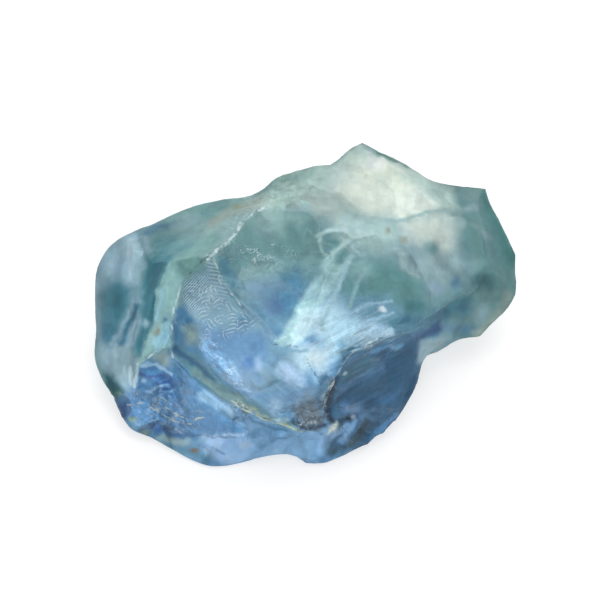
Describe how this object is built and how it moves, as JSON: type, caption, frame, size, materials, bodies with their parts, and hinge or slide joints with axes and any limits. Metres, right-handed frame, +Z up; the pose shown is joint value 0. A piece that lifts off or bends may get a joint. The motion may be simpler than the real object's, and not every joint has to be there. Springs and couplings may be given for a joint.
{
  "type": "rough sapphire",
  "caption": "Uncut blue-green sapphire crystal fragment with shell-shaped breaks, ridges and a flat it rests on.",
  "frame": {"origin": "middle of the stone's footprint, on the surface that it lies on", "axes": "+X along the stone's length, towards the narrow clear end; +Y away from the broad face's foot; +Z up"},
  "size_m": [0.0134, 0.0094, 0.0055],
  "materials": {
    "sapphire": "translucent corundum, teal green above and deep blue below, glassy shell-shaped breaks with chipped ridges"
  },
  "bodies": {
    "root": {"sapphire": "sapphire"}
  },
  "joints": []
}
